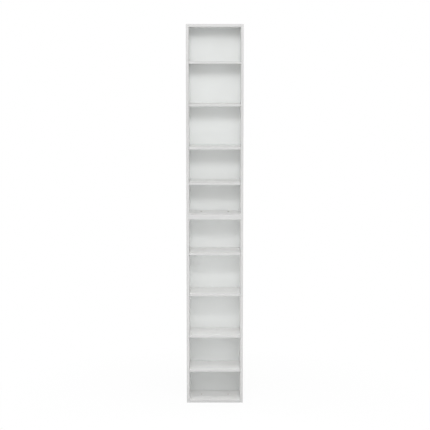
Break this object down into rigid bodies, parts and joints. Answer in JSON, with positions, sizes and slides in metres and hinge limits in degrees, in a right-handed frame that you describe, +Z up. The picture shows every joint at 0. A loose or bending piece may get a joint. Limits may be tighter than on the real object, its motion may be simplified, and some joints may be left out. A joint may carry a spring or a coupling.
{
  "type": "bookcase",
  "caption": "Tall narrow open bookcase in plain white: stacked modules with thin backs and loose shelves on plug-in supports, joined with cam locks and stacking screws.",
  "frame": {"origin": "on the floor, under the middle of the case", "axes": "+Z up along the height; +Y from the open front to the back; +X to the right seen from the front"},
  "size_m": [0.4, 0.28, 2.682],
  "materials": {
    "white_board": "white melamine on chipboard, fine matt",
    "white_edge_band": "white plastic edge band, satin",
    "back_hardboard": "hardboard, painted white in front",
    "zinc_cam": "die-cast zinc",
    "zinc_steel": "zinc-plated steel",
    "beech_dowel": "plain beech",
    "nickel_steel": "nickel-plated steel",
    "glide_plastic": "white plastic"
  },
  "bodies": {
    "case": {"lower_left_side": "white_board", "lower_right_side": "white_board", "lower_top_board": "white_board", "lower_bottom_board": "white_board", "lower_back_panel": "back_hardboard", "lower_side_bands": "white_edge_band", "lower_board_bands": "white_edge_band", "lower_cam_locks": "zinc_cam", "lower_cam_bolts": "zinc_steel", "lower_dowels": "beech_dowel", "lower_shelf_supports": "nickel_steel", "upper_left_side": "white_board", "upper_right_side": "white_board", "upper_top_board": "white_board", "upper_bottom_board": "white_board", "upper_back_panel": "back_hardboard", "upper_side_bands": "white_edge_band", "upper_board_bands": "white_edge_band", "upper_cam_locks": "zinc_cam", "upper_cam_bolts": "zinc_steel", "upper_dowels": "beech_dowel", "upper_shelf_supports": "nickel_steel", "stack_screws": "nickel_steel", "stack_sleeves": "nickel_steel", "floor_glides": "glide_plastic"},
    "loose_shelf_1": {"shelf_1": "white_board", "shelf_1_band": "white_edge_band"},
    "loose_shelf_2": {"shelf_2": "white_board", "shelf_2_band": "white_edge_band"},
    "loose_shelf_3": {"shelf_3": "white_board", "shelf_3_band": "white_edge_band"},
    "loose_shelf_4": {"shelf_4": "white_board", "shelf_4_band": "white_edge_band"},
    "loose_shelf_5": {"shelf_5": "white_board", "shelf_5_band": "white_edge_band"},
    "loose_shelf_6": {"shelf_6": "white_board", "shelf_6_band": "white_edge_band"},
    "loose_shelf_7": {"shelf_7": "white_board", "shelf_7_band": "white_edge_band"},
    "loose_shelf_8": {"shelf_8": "white_board", "shelf_8_band": "white_edge_band"}
  },
  "joints": [
    {"name": "shelf_1_draw_out", "type": "slide", "parent": "case", "child": "loose_shelf_1", "axis": [0, -1, 0], "range_m": [0, 0.28]},
    {"name": "shelf_2_draw_out", "type": "slide", "parent": "case", "child": "loose_shelf_2", "axis": [0, -1, 0], "range_m": [0, 0.28]},
    {"name": "shelf_3_draw_out", "type": "slide", "parent": "case", "child": "loose_shelf_3", "axis": [0, -1, 0], "range_m": [0, 0.28]},
    {"name": "shelf_4_draw_out", "type": "slide", "parent": "case", "child": "loose_shelf_4", "axis": [0, -1, 0], "range_m": [0, 0.28]},
    {"name": "shelf_5_draw_out", "type": "slide", "parent": "case", "child": "loose_shelf_5", "axis": [0, -1, 0], "range_m": [0, 0.28]},
    {"name": "shelf_6_draw_out", "type": "slide", "parent": "case", "child": "loose_shelf_6", "axis": [0, -1, 0], "range_m": [0, 0.28]},
    {"name": "shelf_7_draw_out", "type": "slide", "parent": "case", "child": "loose_shelf_7", "axis": [0, -1, 0], "range_m": [0, 0.28]},
    {"name": "shelf_8_draw_out", "type": "slide", "parent": "case", "child": "loose_shelf_8", "axis": [0, -1, 0], "range_m": [0, 0.28]}
  ]
}
